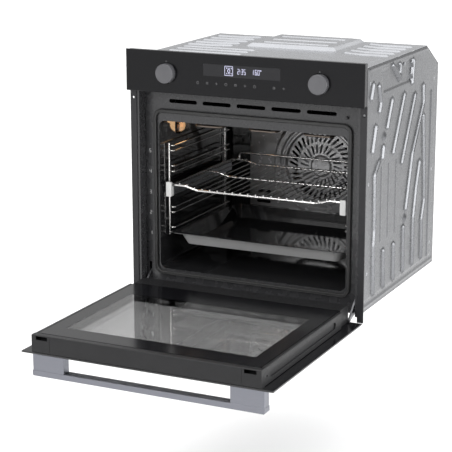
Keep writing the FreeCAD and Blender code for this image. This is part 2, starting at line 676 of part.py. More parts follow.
def door_top_trim():
    trim = rounded_block(-DOOR_HALF, DOOR_HALF, FRONT_Y + GLASS, DOOR_BACK,
                         TOP_TRIM_BOTTOM, DOOR_TOP, 2.5, "x")
    hollow = box(-DOOR_HALF + 3, DOOR_HALF - 3, -45, -12, TOP_TRIM_BOTTOM + 1.5, DOOR_TOP - 2.5)
    slots = [box(s * 232, s * 260, -19, -10.5, DOOR_TOP - 5, DOOR_TOP + 1) for s in LEFT_RIGHT]
    joints = [box(s * 226, s * 226.6, -50, 0, DOOR_TOP - 0.6, DOOR_TOP + 1) for s in LEFT_RIGHT]
    return trim.cut([hollow] + slots + joints)


def door_bottom_rail():
    """The lower rail. Its ends hold the bores that turn on the hinge pins."""
    rail = box(-263.5, 263.5, FRONT_Y + GLASS, DOOR_BACK, DOOR_BOTTOM, BOTTOM_RAIL_TOP)
    hollow = box(-250, 250, -45.5, -11, DOOR_BOTTOM + 3, BOTTOM_RAIL_TOP + 1)
    bore = rod(PIN_R + RUNNING, (253, HINGE_Y, HINGE_Z), (270, HINGE_Y, HINGE_Z))
    vents = [box(-228 + 48 * i, -196 + 48 * i, -36, -28, DOOR_BOTTOM - 1, DOOR_BOTTOM + 4) for i in range(9)]
    return rail.cut([hollow, bore, mirror_x(bore)] + vents)


def handle_bar():
    """The bar of the handle, with chamfered ends."""
    front = FRONT_Y - HANDLE_REACH
    back = front + HANDLE_BAR
    bottom = HANDLE_TOP - HANDLE_DEPTH
    h = HANDLE_HALF
    outline = [(-h + 2, front, 0), (h - 2, front, 0), (h, front + 2.5, 0), (h, back, 0), (-h, back, 0),
               (-h, front + 2.5, 0)]
    bar = extrude(outline, (0, 0, HANDLE_DEPTH))
    bar.translate(V(0, 0, bottom))
    long_edges = [e for e in bar.Edges if e.Length > 2 * h - 20]
    return bar.makeFillet(1, long_edges)


def handle_post():
    """The right post of the handle."""
    back = FRONT_Y - HANDLE_REACH + HANDLE_BAR
    bottom = HANDLE_TOP - HANDLE_DEPTH
    return rounded_block(HANDLE_HALF - POST_WIDTH, HANDLE_HALF - 0.5, back, FRONT_Y,
                         bottom + 0.5, HANDLE_TOP - 0.5, 2, "y")


# ---- hinges -------------------------------------------------------------------------------
def hinge_arm():
    """The right hinge arm: an eye on the door's pin, and a bar into the hinge case."""
    x0, x1 = ARM_X
    eye = rod(EYE_R, (x0, HINGE_Y, HINGE_Z), (x1, HINGE_Y, HINGE_Z))
    outline = [(x0, HINGE_Y - 1.2, HINGE_Z + 3.4), (x0, HINGE_Y + 1.2, HINGE_Z - 3.4), (x0, -18, 1),
               (x0, 4, 8), (x0, 40, 14), (x0, 40, 42), (x0, 4, 42), (x0, -12, 30)]
    bar = extrude(outline, (x1 - x0, 0, 0))
    pin = rod(PIN_R + RUNNING, (x0 - 1, HINGE_Y, HINGE_Z), (x1 + 2, HINGE_Y, HINGE_Z))
    hook = rod(2.5, (x0 - 1, 34, 28), (x1 + 1, 34, 28))
    return join([eye, bar]).cut([pin, hook])


def hinge_pin():
    return rod(PIN_R, (254, HINGE_Y, HINGE_Z), (ARM_X[1] + 1.5, HINGE_Y, HINGE_Z))


def hinge_case():
    """The right hinge case behind the frame: a folded channel."""
    outer = box(263, 274, 2, 122, 3, 62)
    inner = box(264, 273, 1, 121, 4.2, 60.8)
    return outer.cut(inner)


def hinge_rod():
    """The spring rod behind the arm, with the washer that the spring pushes on."""
    stem = rod(1.8, (268.5, 40.2, 28), (268.5, 116, 28))
    washer = rod(4.2, (268.5, 112, 28), (268.5, 113.5, 28))
    return join([stem, washer])


def hinge_spring():
    """The coil spring on the rod."""
    helix = Part.makeHelix(4.4, 66, 3.2)
    profile = Part.Wire(Part.makeCircle(0.6, V(3.2, 0, 0), V(0, 1, 0.22)))
    coil = Part.Wire(helix.Edges).makePipeShell([profile], True, True)
    coil.rotate(V(0, 0, 0), V(1, 0, 0), -90)
    coil.translate(V(268.5, 45, 28))
    return coil


# ---- cooling fan and services -------------------------------------------------------------

def duct_block(inset, y0, y1):
    z0, z1 = DUCT_Z
    z, wide, narrow = z0 + inset, 217 - inset, 112 - inset
    outline = [(-wide, y0, z), (wide, y0, z), (wide, 120, z), (narrow, y1, z), (-narrow, y1, z), (-wide, 120, z)]
    return extrude(outline, (0, 0, z1 - z0 - 2 * inset))


def air_duct():
    """The flat duct from the blower to the slots in the frame."""
    return duct_block(0, 1.4, 240).cut(duct_block(1, 0.4, 241))


def blower_housing():
    """The blower's box, open to the duct in front and to the air above."""
    outer = rounded_block(-112, 112, 240.2, 404, 440, 500, 10, "z")
    inner = rounded_block(-111, 111, 241.2, 403, 441, 499, 9, "z")
    outlet = box(-100, 100, 230, 250, 450, 472)
    inlet = rod(46, (0, BLOWER_Y, 495), (0, BLOWER_Y, 505))
    spider = [box(-60, 60, BLOWER_Y - 4, BLOWER_Y + 4, 499, 500.5),
              box(-4, 4, BLOWER_Y - 60, BLOWER_Y + 60, 499, 500.5)]
    clear = rod(5, (0, BLOWER_Y, 495), (0, BLOWER_Y, 505))
    return join([outer.cut([inner, outlet, inlet])] + spider).cut(clear)


def blower_wheel():
    """The radial wheel of the cooling blower on its shaft."""
    disc = rod(64, (0, BLOWER_Y, 450), (0, BLOWER_Y, 451.5))
    eye = rod(50, (0, BLOWER_Y, 480), (0, BLOWER_Y, 490))
    ring = rod(64, (0, BLOWER_Y, 486), (0, BLOWER_Y, 488)).cut(eye)
    shaft = rod(3, (0, BLOWER_Y, 450), (0, BLOWER_Y, 545))
    hub = rod(9, (0, BLOWER_Y, 450), (0, BLOWER_Y, 466))
    blades = []
    for i in range(18):
        blade = box(52, 63.5, BLOWER_Y - 0.6, BLOWER_Y + 0.6, 451, 487)
        blade.rotate(V(0, BLOWER_Y, 0), V(0, 0, 1), 20 * i)
        blades.append(blade)
    return join([disc, ring, shaft, hub] + blades)


def blower_motor():
    can = rod(31, (0, BLOWER_Y, 500.8), (0, BLOWER_Y, 550))
    stack = box(-38, 38, BLOWER_Y - 24, BLOWER_Y + 24, 512, 536)
    bore = rod(3 + RUNNING, (0, BLOWER_Y, 490), (0, BLOWER_Y, 546))
    return join([can, stack]).cut(bore)


def door_switch():
    body = box(SWITCH_X - 11, SWITCH_X + 11, 2, 34, SWITCH_Z - 9, SWITCH_Z + 9)
    return body.cut(rod(PLUNGER_R + RUNNING, (SWITCH_X, 0, SWITCH_Z), (SWITCH_X, 27, SWITCH_Z)))


def door_switch_plunger():
    stem = rod(PLUNGER_R, (SWITCH_X, -7.4, SWITCH_Z), (SWITCH_X, 20, SWITCH_Z))
    tip = [e for e in stem.Edges if abs(e.CenterOfMass.y + 7.4) < 0.01]
    return stem.makeFillet(1.5, tip)


def terminal_block():
    body = box(-232, -178, 478, 502, 440, 476)
    wells = [rod(3.5, (x, 490, 452), (x, 503, 452)) for x in (-221, -205, -189)]
    return body.cut(wells)


def cable_clamp():
    """The gland of the mains lead in the rear panel."""
    body = rod(INLET_R + 5, (INLET_X, 497, INLET_Z), (INLET_X, 513, INLET_Z))
    collar = rod(INLET_R + 8.5, (INLET_X, 506.2, INLET_Z), (INLET_X, 509, INLET_Z))
    bore = rod(INLET_R, (INLET_X, 490, INLET_Z), (INLET_X, 520, INLET_Z))
    return join([body, collar]).cut(bore)


# ---- write every node ---------------------------------------------------------------------
def pair(shape):
    """The right piece and its mirror image, as two solids of one node."""
    return [shape, mirror_x(shape)]


def build_case():
    for name, side in (("left", -1), ("right", 1)):
        save("side_panel_" + name, side_panel(side))
        save("side_trim_" + name, side_trim(side))
    save("top_cover", top_cover())
    save("rear_panel", rear_panel())
    save("base_panel", base_panel())
    save("front_frame", front_frame())
    save("screws", screws())


def build_control_panel():
    save("control_panel_glass", control_panel_glass())
    save("panel_carrier", panel_carrier())
    save("display_module", display_module())
    save("control_board", control_board())
    for name, side in (("left", -1), ("right", 1)):
        save("knob_" + name, knob(side))
        save("knob_spindle_" + name, knob_spindle(side))
    save("selector_switches", selector_switches())


def build_cavity():
    save("cavity_liner", cavity_liner())
    save("insulation", insulation())
    save("door_seal", door_seal())
    save("fan_cover", fan_cover())
    save("convection_fan", convection_fan())
    save("fan_motor", fan_motor())
    save("ring_element", ring_element())
    save("grill_element", grill_element())
    save("bottom_element", bottom_element())
    save("lamp_housing", lamp_housing())
    save("lamp_bulb", lamp_bulb())
    save("lamp_glass", lamp_glass())
    save("temperature_probe", temperature_probe())


def build_shelves():
    rack = side_rack()
    save("rack_right", rack)
    save("rack_left", mirror_x(rack))
    save("rail_outer", pair(rail_outer()))
    save("rail_middle", pair(rail_middle()))
    save("rail_runner", pair(rail_runner()))
    save("rail_end_blocks", pair(rail_end_block()))
    save("wire_shelf", wire_shelf())
    save("baking_tray", baking_tray())


def build_door():
    side = open_door(door_side())
    post = open_door(handle_post())
    save("door_outer_glass", open_door(door_outer_glass()))
    save("door_middle_glass", open_door(door_middle_glass()))
    save("door_inner_glass", open_door(door_inner_glass()))
    save("door_side_right", side)
    save("door_side_left", mirror_x(side))
    save("door_top_trim", open_door(door_top_trim()))
    save("door_bottom_rail", open_door(door_bottom_rail()))
    save("handle_bar", open_door(handle_bar()))
    save("handle_posts", pair(post))


def build_hinges():
    save("hinge_arms", pair(hinge_arm()))
    save("hinge_pins_and_rods", pair(hinge_pin()) + pair(hinge_rod()))
    save("hinge_cases", pair(hinge_case()))
    save("hinge_springs", pair(hinge_spring()))


def build_services():
    save("air_duct", air_duct())
    save("blower_housing", blower_housing())
    save("blower_wheel", blower_wheel())
    save("blower_motor", blower_motor())
    save("door_switch", door_switch())
    save("door_switch_plunger", door_switch_plunger())
    save("terminal_block", terminal_block())
    save("cable_clamp", cable_clamp())


os.makedirs("parts", exist_ok=True)
build_case()
build_control_panel()
build_cavity()
build_shelves()
build_door()
build_hinges()
build_services()
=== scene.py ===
import math

import bpy
import numpy as np
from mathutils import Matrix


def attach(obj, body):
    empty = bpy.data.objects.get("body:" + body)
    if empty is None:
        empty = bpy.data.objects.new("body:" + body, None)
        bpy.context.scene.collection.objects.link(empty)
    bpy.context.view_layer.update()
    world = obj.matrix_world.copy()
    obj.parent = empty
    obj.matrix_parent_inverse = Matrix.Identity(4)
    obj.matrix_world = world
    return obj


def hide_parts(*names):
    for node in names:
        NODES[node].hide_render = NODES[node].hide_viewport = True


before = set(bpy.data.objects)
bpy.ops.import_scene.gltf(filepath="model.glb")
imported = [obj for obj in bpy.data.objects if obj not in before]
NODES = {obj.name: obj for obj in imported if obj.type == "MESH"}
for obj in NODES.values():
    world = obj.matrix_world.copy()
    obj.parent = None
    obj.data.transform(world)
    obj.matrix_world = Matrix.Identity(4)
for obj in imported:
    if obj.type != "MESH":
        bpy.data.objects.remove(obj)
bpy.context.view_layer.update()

MM = 0.001

# ---- dimensions, in millimetres, in the row frame ---------------------------------------
CASE_HALF = 280.0
CASE_TOP = 568.0
SHEET = 0.8
GRID = 3.0
RIM_SLOPE = 5.0
SIDE_FRONT = -29.0
SIDE_REAR = 504.5
SIDE_BOTTOM = 1.5
SIDE_TOP = 566.5
SLOPE_START = 411.5
SLOPE_END_Z = 511.5
TOP_REAR = 412.0
PANEL_FACE_Y = -52.0
PRINT_PROUD = 0.25
WINDOW_PROUD = 0.1
PRINT_DEPTH = 0.2
KNOB_X = 190.8
KNOB_Z = 534.0
DISPLAY_TOP = 562.0
DISPLAY_BOTTOM = 534.5
DISPLAY_HALF = 96.0
ICON_Z = 517.5
ICON_FIRST_X = -110.3
ICON_PITCH = 23.9
ICON_HALF = 3.0
KNOB_MARK_UP = 27.0
NUMERAL_X = -266.5
NUMERAL_DROP = 12.0
LEVELS = [142.5 + 50.5 * i for i in range(5)]
LAMP = (-225.0, 125.0, 379.0)
FLOOR_Z = -420.0
FLOOR_SIZE = 240.0


# ---- node helpers ------------------------------------------------------------------------
def new_material(name):
    """A material with its node tree and its Principled shader."""
    material = bpy.data.materials.new(name)
    material.use_nodes = True
    tree = material.node_tree
    return material, tree, tree.nodes["Principled BSDF"]


def node(tree, kind, **inputs):
    """A node with its unlinked sockets set. Names use _ for a space."""
    made = tree.nodes.new(kind)
    for key, value in inputs.items():
        made.inputs[key.replace("_", " ")].default_value = value
    return made


def position(tree, scale=(1, 1, 1)):
    """Object coordinates in metres, scaled along each axis."""
    coordinates = tree.nodes.new("ShaderNodeTexCoord")
    mapping = node(tree, "ShaderNodeMapping", Scale=scale)
    tree.links.new(coordinates.outputs["Object"], mapping.inputs["Vector"])
    return mapping.outputs["Vector"]


def noise(tree, vector, scale, detail=2.0):
    """The factor of a noise texture."""
    made = node(tree, "ShaderNodeTexNoise", Scale=scale, Detail=detail)
    tree.links.new(vector, made.inputs["Vector"])
    return made.outputs["Fac"]


def ramp(tree, factor, low, high, start=0.35, end=0.65):
    """Maps a factor to a colour or to a grey level between two values."""
    made = tree.nodes.new("ShaderNodeValToRGB")
    made.color_ramp.elements[0].position = start
    made.color_ramp.elements[1].position = end
    made.color_ramp.elements[0].color = rgba(low)
    made.color_ramp.elements[1].color = rgba(high)
    tree.links.new(factor, made.inputs["Fac"])
    return made.outputs["Color"]


def rgba(value):
    if isinstance(value, (int, float)):
        return (value, value, value, 1.0)
    return (*value, 1.0)


def add_bump(tree, shader, height, strength, distance):
    bump = node(tree, "ShaderNodeBump", Strength=strength, Distance=distance)
    tree.links.new(height, bump.inputs["Height"])
    tree.links.new(bump.outputs["Normal"], shader.inputs["Normal"])


def set_shader(shader, **values):
    for key, value in values.items():
        shader.inputs[key.replace("_", " ")].default_value = value


# ---- materials ---------------------------------------------------------------------------
def zinc_tint(level):
    """The slightly blue grey of zinc at one lightness."""
    return (level * 0.97, level * 0.99, level * 1.04)


def galvanised(name, dark, light):
    """Zinc-coated sheet: soft spangle between two greys, and the slow waves of thin metal."""
    material, tree, shader = new_material(name)
    set_shader(shader, Metallic=0.85)
    vector = position(tree)
    spangle = node(tree, "ShaderNodeTexVoronoi", Scale=80.0)
    tree.links.new(vector, spangle.inputs["Vector"])
    mixed = tree.nodes.new("ShaderNodeMix")
    mixed.data_type = "RGBA"
    mixed.inputs["Factor"].default_value = 0.2
    low, high = zinc_tint(dark), zinc_tint(light)
    tree.links.new(ramp(tree, noise(tree, vector, 6.0), low, high), mixed.inputs["A"])
    tree.links.new(ramp(tree, spangle.outputs["Color"], low, high, 0.1, 0.9), mixed.inputs["B"])
    tree.links.new(mixed.outputs["Result"], shader.inputs["Base Color"])
    tree.links.new(ramp(tree, noise(tree, vector, 50.0), 0.24, 0.3), shader.inputs["Roughness"])
    add_bump(tree, shader, noise(tree, vector, 9.0, 0.0), 0.25, 0.004)
    return material


def enamel(name, colour, roughness, speckle=0.0, gloss=0.5):
    """Baked enamel: gloss with faint orange peel, and pale specks where asked."""
    material, tree, shader = new_material(name)
    set_shader(shader, Base_Color=rgba(colour), Specular_IOR_Level=gloss)
    vector = position(tree)
    if speckle:
        bright = tuple(min(1.0, c + speckle) for c in colour)
        specks = ramp(tree, noise(tree, vector, 1600.0, 1.0), colour, bright, 0.62, 0.72)
        tree.links.new(specks, shader.inputs["Base Color"])
    cloud = ramp(tree, noise(tree, vector, 40.0), roughness * 0.8, roughness * 1.25)
    tree.links.new(cloud, shader.inputs["Roughness"])
    add_bump(tree, shader, noise(tree, vector, 260.0), 0.02, 0.0004)
    return material


def moulded(name, colour, roughness, gloss=0.5):
    """Moulded plastic with a fine grain."""
    material, tree, shader = new_material(name)
    set_shader(shader, Specular_IOR_Level=gloss)
    vector = position(tree)
    darker = tuple(c * 0.86 for c in colour)
    tint = ramp(tree, noise(tree, vector, 30.0), darker, colour)
    tree.links.new(tint, shader.inputs["Base Color"])
    cloud = ramp(tree, noise(tree, vector, 220.0), roughness * 0.85, roughness * 1.15)
    tree.links.new(cloud, shader.inputs["Roughness"])
    add_bump(tree, shader, noise(tree, vector, 1800.0), 0.15, 0.0003)
    return material


def metal(name, colour, roughness, stretch=(1, 1, 1), grain=500.0, strength=0.15):
    """Bare metal. A stretch makes the grain run along one axis, as brushing does."""
    material, tree, shader = new_material(name)
    set_shader(shader, Metallic=1.0)
    vector = position(tree, stretch)
    darker = tuple(c * 0.88 for c in colour)
    grain_noise = noise(tree, vector, grain, 3.0)
    tree.links.new(ramp(tree, grain_noise, darker, colour), shader.inputs["Base Color"])
    streaks = ramp(tree, grain_noise, roughness * 0.8, roughness * 1.2)
    tree.links.new(streaks, shader.inputs["Roughness"])
    add_bump(tree, shader, grain_noise, strength, 0.0002)
    return material


def tray_finish():
    """Black gloss enamel inside the tray; the faces that point downwards are given a paler grey and
    a rougher surface.
    """
    material, tree, shader = new_material("tray_enamel")
    geometry = tree.nodes.new("ShaderNodeNewGeometry")
    separate = tree.nodes.new("ShaderNodeSeparateXYZ")
    tree.links.new(geometry.outputs["Normal"], separate.inputs["Vector"])
    below = tree.nodes.new("ShaderNodeMath")
    below.operation = "LESS_THAN"
    below.inputs[1].default_value = -0.05
    tree.links.new(separate.outputs["Z"], below.inputs[0])
    colour = ramp(tree, below.outputs[0], (0.012, 0.012, 0.013), (0.42, 0.42, 0.42), 0.4, 0.6)
    tree.links.new(colour, shader.inputs["Base Color"])
    tree.links.new(ramp(tree, below.outputs[0], 0.08, 0.35, 0.4, 0.6), shader.inputs["Roughness"])
    set_shader(shader, Specular_IOR_Level=0.9)
    add_bump(tree, shader, noise(tree, position(tree), 60.0), 0.03, 0.0005)
    return material


def satin_metal(name, colour, roughness):
    """A satin surface, half metal and half diffuse, with faint cloudiness."""
    material, tree, shader = new_material(name)
    set_shader(shader, Metallic=0.5)
    vector = position(tree)
    darker = tuple(c * 0.9 for c in colour)
    tint = ramp(tree, noise(tree, vector, 25.0), darker, colour)
    tree.links.new(tint, shader.inputs["Base Color"])
    cloud = ramp(tree, noise(tree, vector, 60.0), roughness * 0.85, roughness * 1.15)
    tree.links.new(cloud, shader.inputs["Roughness"])
    return material


def clear_glass(name, tint):
    material, tree, shader = new_material(name)
    set_shader(shader, Base_Color=rgba(tint), Transmission_Weight=1.0, IOR=1.5)
    vector = position(tree)
    tree.links.new(ramp(tree, noise(tree, vector, 14.0), 0.0, 0.03), shader.inputs["Roughness"])
    return material


def window_mask(tree, x_half, y_low, y_high):
    """One inside a window on the open door's face, zero outside, in metres."""
    separate = tree.nodes.new("ShaderNodeSeparateXYZ")
    tree.links.new(position(tree), separate.inputs["Vector"])
    tests = []
    for axis, low, high in (("X", -x_half, x_half), ("Y", y_low, y_high)):
        for operation, limit in (("GREATER_THAN", low), ("LESS_THAN", high)):
            test = tree.nodes.new("ShaderNodeMath")
            test.operation = operation
            test.inputs[1].default_value = limit
            tree.links.new(separate.outputs[axis], test.inputs[0])
            tests.append(test.outputs[0])
    product = tests[0]
    for other in tests[1:]:
        step = tree.nodes.new("ShaderNodeMath")
        step.operation = "MULTIPLY"
        tree.links.new(product, step.inputs[0])
        tree.links.new(other, step.inputs[1])
        product = step.outputs[0]
    return product


def printed_glass(name, x_half, y_low, y_high, tint):
    """Door glass with a black printed border round a clear window."""
    material, tree, shader = new_material(name)
    mask = window_mask(tree, x_half, y_low, y_high)
    set_shader(shader, IOR=1.5)
    colour = ramp(tree, mask, (0.005, 0.005, 0.006), tint, 0.4, 0.6)
    tree.links.new(colour, shader.inputs["Base Color"])
    tree.links.new(mask, shader.inputs["Transmission Weight"])
    tree.links.new(ramp(tree, mask, 0.16, 0.02, 0.4, 0.6), shader.inputs["Roughness"])
    return material


def glowing(name, colour, strength):
    """A lit surface whose brightness varies a little with noise."""
    material, tree, shader = new_material(name)
    set_shader(shader, Base_Color=rgba(colour), Emission_Color=rgba(colour), Roughness=0.4)
    level = tree.nodes.new("ShaderNodeMapRange")
    level.inputs["To Min"].default_value = strength * 0.85
    level.inputs["To Max"].default_value = strength
    tree.links.new(noise(tree, position(tree), 200.0), level.inputs["Value"])
    tree.links.new(level.outputs["Result"], shader.inputs["Emission Strength"])
    return material


def woven(name, colour):
    """The braided seal: crossed waves as a fine weave."""
    material, tree, shader = new_material(name)
    set_shader(shader, Roughness=0.4)
    wave = node(tree, "ShaderNodeTexWave", Scale=420.0, Distortion=1.5)
    tree.links.new(position(tree), wave.inputs["Vector"])
    lighter = tuple(c * 2.2 + 0.02 for c in colour)
    threads = ramp(tree, wave.outputs["Fac"], colour, lighter, 0.2, 0.8)
    tree.links.new(threads, shader.inputs["Base Color"])
    add_bump(tree, shader, wave.outputs["Fac"], 0.4, 0.0005)
    return material


M = {
    "galvanised": galvanised("galvanised_sheet", 0.125, 0.14),
    # The top cover's zinc is a lighter copy of the side sheet: painted light standing in for the
    # overhead light on the top.
    "galvanised_painted_lit_top": galvanised("galvanised_sheet_painted_lit_top", 0.35, 0.4),
    "frame": enamel("frame_enamel", (0.03, 0.03, 0.032), 0.26, gloss=0.5),
    "liner": enamel("cavity_enamel", (0.012, 0.012, 0.013), 0.07, 0.06, gloss=0.9),
    "baffle": satin_metal("baffle_enamel", (0.4, 0.4, 0.405), 0.24),
    "tray": tray_finish(),
    "trim": enamel("trim_paint", (0.02, 0.02, 0.022), 0.4, gloss=0.3),
    "panel": enamel("panel_glass", (0.0035, 0.0035, 0.0045), 0.2, gloss=0.22),
    "door_trim": moulded("door_trim_plastic", (0.014, 0.014, 0.015), 0.42, 0.25),
    "plastic": moulded("black_plastic", (0.02, 0.02, 0.022), 0.45),
    "knob_face": moulded("knob_face", (0.09, 0.09, 0.097), 0.36),
    "pale_plastic": moulded("pale_plastic", (0.7, 0.7, 0.69), 0.4),
    "board": moulded("circuit_board", (0.02, 0.16, 0.07), 0.4),
    "steel": metal("satin_steel", (0.42, 0.43, 0.45), 0.32),
    "hinge_steel": metal("hinge_steel", (0.2, 0.2, 0.21), 0.4),
    "wire": metal("bright_wire", (0.68, 0.67, 0.66), 0.17, grain=900.0, strength=0.05),
    "aluminium": metal("brushed_aluminium", (0.2, 0.205, 0.23), 0.42, (1, 40, 40), 60.0, 0.05),
    "element": metal("heater_tube", (0.24, 0.2, 0.17), 0.38),
    "wool": moulded("mineral_wool", (0.6, 0.56, 0.42), 0.9),
    "seal": woven("woven_seal", (0.006, 0.006, 0.006)),
    "lamp_glass": clear_glass("lamp_cover_glass", (0.4, 0.29, 0.21)),
    "middle_glass": clear_glass("middle_pane_glass", (0.94, 0.94, 0.94)),
    "inner_glass": printed_glass("inner_pane_glass", 0.226, -0.461, -0.176, (0.88, 0.88, 0.88)),
    "outer_glass": printed_glass("outer_pane_glass", 0.25, -0.49, -0.12, (0.38, 0.38, 0.38)),
    "bulb": glowing("lamp_bulb_glow", (1.0, 0.55, 0.28), 0.35),
    "digits": glowing("display_digits", (0.6, 0.6, 0.8), 0.65),
    "window": enamel("display_window_glass", (0.012, 0.012, 0.014), 0.2, gloss=0.3),
    "icons": moulded("printed_symbols", (0.12, 0.12, 0.125), 0.5),
    "numerals": moulded("printed_numerals", (0.5, 0.5, 0.5), 0.5),
}

FINISHES = {
    "galvanised": "rear_panel base_panel air_duct blower_housing hinge_cases",
    "frame": "front_frame",
    "liner": "cavity_liner",
    "baffle": "fan_cover",
    "tray": "baking_tray",
    "trim": "side_trim_left side_trim_right",
    "panel": "control_panel_glass",
    "door_trim": "door_top_trim door_side_left door_side_right door_bottom_rail",
    "plastic": "panel_carrier display_module selector_switches door_switch door_switch_plunger "
               "terminal_block cable_clamp blower_wheel",
    "knob_face": "knob_left knob_right",
    "pale_plastic": "rail_end_blocks",
    "board": "control_board",
    "steel": "knob_spindle_left knob_spindle_right fan_motor lamp_housing rail_outer rail_middle "
             "rail_runner screws temperature_probe blower_motor",
    "hinge_steel": "hinge_arms hinge_pins_and_rods hinge_springs convection_fan",
    "wire": "rack_left rack_right wire_shelf",
    "aluminium": "handle_bar handle_posts",
    "element": "ring_element grill_element bottom_element",
    "wool": "insulation",
    "seal": "door_seal",
    "lamp_glass": "lamp_glass",
    "middle_glass": "door_middle_glass",
    "inner_glass": "door_inner_glass",
    "outer_glass": "door_outer_glass",
    "bulb": "lamp_bulb",
}


def dress(name, material):
    """Give every slot of a carried-over part one material."""
    slots = NODES[name].material_slots
    for slot in slots:
        slot.link = "OBJECT"
        slot.material = material


def dress_nodes():
    for finish, names in FINISHES.items():
        for name in names.split():
            dress(name, M[finish])


# ---- pressed sheets ------------------------------------------------------------------------
def distance_to_line(u, v, points):
    """Distance of every grid point from a broken line."""
    best = np.full(u.shape, 1e9)
    for (x0, y0), (x1, y1) in zip(points, points[1:]):
        dx, dy = x1 - x0, y1 - y0
        t = np.clip(((u - x0) * dx + (v - y0) * dy) / (dx * dx + dy * dy + 1e-9), 0, 1)
        best = np.minimum(best, np.hypot(u - x0 - t * dx, v - y0 - t * dy))
    return best


def step(value, width):
    """Smooth rise from 0 to 1 as value goes from 0 to width."""
    t = np.clip(value / width, 0, 1)
    return t * t * (3 - 2 * t)


def ridge(u, v, points, half=7.0, height=5.5):
    """A pressed rib along a broken line."""
    return height * step(half + 1.5 - distance_to_line(u, v, points), half)


def area(u, v, u0, u1, v0, v1, height, slope=8.0):
    """A pressed rectangular field with sloping sides."""
    inside = np.minimum(np.minimum(u - u0, u1 - u), np.minimum(v - v0, v1 - v))
    return height * step(inside, slope)


def bump(u, v, centre, radius, height):
    """A round pressed dimple."""
    return height * step(radius - np.hypot(u - centre[0], v - centre[1]), radius)


SIDE_RIBS = [
    [(45, 525), (32, 495)],
    [(80, 517), (95, 476), (86, 458)],
    [(312, 545), (306, 492)],
    [(170, 472), (140, 412)],
    [(254, 473), (184, 345)],
    [(331, 461), (246, 309)],
    [(391, 474), (395, 432), (321, 318), (281, 188)],
    [(267, 147), (271, 36)],
    [(396, 400), (410, 282), (418, 183), (402, 138), (406, 37)],
    [(377, 288), (354, 225), (338, 156), (339, 37)],
    [(65, 426), (46, 371)],
    [(118, 371), (112, 345)],
    [(89, 340), (62, 314), (66, 185), (62, 149), (66, 32)],
    [(130, 121), (133, 33)],
    [(200, 120), (202, 33)],
    [(168, 552), (219, 514), (217, 548)],
]
SIDE_DIMPLES = [(122, 392), (277, 165), (69, 103)]


def side_height(u, v):
    """Pressings of a side panel, u back into the oven and v up."""
    height = np.zeros_like(u)
    for rib in SIDE_RIBS:
        height = np.maximum(height, ridge(u, v, rib))
    for dimple in SIDE_DIMPLES:
        height = np.maximum(height, bump(u, v, dimple, 17, 5.5))
    for across in (108, 157, 206):
        height = np.maximum(height, ridge(u, v, [(across, 322), (across, 148)], 2.0, 1.2))
    grip = np.minimum(area(u, v, 70, 330, 497, 551, 1.0, 3.0), step(u - 92 - (551 - v) * 0.3, 4))
    grip = np.minimum(grip, step(322 - u - (551 - v) * 0.25, 4))
    height = height - 3.5 * grip * (height < 0.5)
    height += area(u, v, -14, 484, 24, 600, 2.0, 4.0)
    height += area(u, v, 20, 424, 558, 600, 1.5, 3.0)
    height = np.maximum(height, ridge(u, v, [(452, 30), (452, 452)], 3.0, 4.0))
    height += ridge(u, v, [(-40, 12), (600, 12)], 3.0, 2.0)
    return height


def top_height(u, v):
    """Pressings of the top cover, u to the right and v back into the oven."""
    height = area(u, v, -118, 122, 214, 420, 8.0, 16.0)
    height = np.maximum(height, area(u, v, -262, 262, -12, 160, 2.2, 6.0))
    for side in (-1, 1):
        for i in range(5):
            y = 192 + 42 * i
            line = [(side * 150, y + 14), (side * 190, y), (side * 256, y)]
            height = np.maximum(height, ridge(u, v, line, 6.0, 3.4))
    for y in (22, 62, 102, 138):
        height += ridge(u, v, [(-240, y), (-60, y)], 6.0, 2.6)
    for y in (250, 305, 360):
        height += ridge(u, v, [(-78, y), (84, y)], 6.0, 2.4)
    return height


def pressed_sheet(name, u_range, v_range, place, height_at, material, keep=None):
    """A thin sheet with pressings. place turns grid points and heights into row-frame points."""
    nu = int((u_range[1] - u_range[0]) / GRID) + 1
    nv = int((v_range[1] - v_range[0]) / GRID) + 1
    u, v = np.meshgrid(np.linspace(*u_range, nu), np.linspace(*v_range, nv), indexing="ij")
    if keep is not None:
        v = keep(u, v)
    height = height_at(u, v)
    across = np.minimum(u - u_range[0], u_range[1] - u)
    along = np.minimum(v - v.min(axis=1, keepdims=True), v.max(axis=1, keepdims=True) - v)
    edge = np.minimum(across, along)
    height = height * step(edge, RIM_SLOPE)
    outside = place(u, v, height)
    inside = place(u, v, height - SHEET)
    count = nu * nv
    points = np.concatenate([outside.reshape(-1, 3), inside.reshape(-1, 3)]) * MM
    index = np.arange(count).reshape(nu, nv)
    a, b, c, d = index[:-1, :-1], index[1:, :-1], index[1:, 1:], index[:-1, 1:]
    front = np.stack([a, b, c, d], -1).reshape(-1, 4)
    back = front[:, ::-1] + count
    ring = np.concatenate([index[:, 0], index[-1, 1:], index[-2::-1, -1], index[0, -2:0:-1]])
    after = np.roll(ring, -1)
    rim = np.stack([after, ring, ring + count, after + count], -1)
    mesh = bpy.data.meshes.new(name)
    mesh.from_pydata(points.tolist(), [], np.concatenate([front, back, rim]).tolist())
    mesh.validate()
    mesh.shade_smooth()
    mesh.set_sharp_from_angle(angle=math.radians(50))
    made = bpy.data.objects.new(name, mesh)
    bpy.context.scene.collection.objects.link(made)
    made.data.materials.append(material)
    return made


def side_edge(u, v):
    """Squeezes the grid rows so that the upper edge follows the sloping rear corner."""
    fall = np.clip((u - SLOPE_START) / (SIDE_REAR - SLOPE_START), 0, 1)
    top = SIDE_TOP - fall * (SIDE_TOP - SLOPE_END_Z)
    return SIDE_BOTTOM + (v - SIDE_BOTTOM) * (top - SIDE_BOTTOM) / (SIDE_TOP - SIDE_BOTTOM)


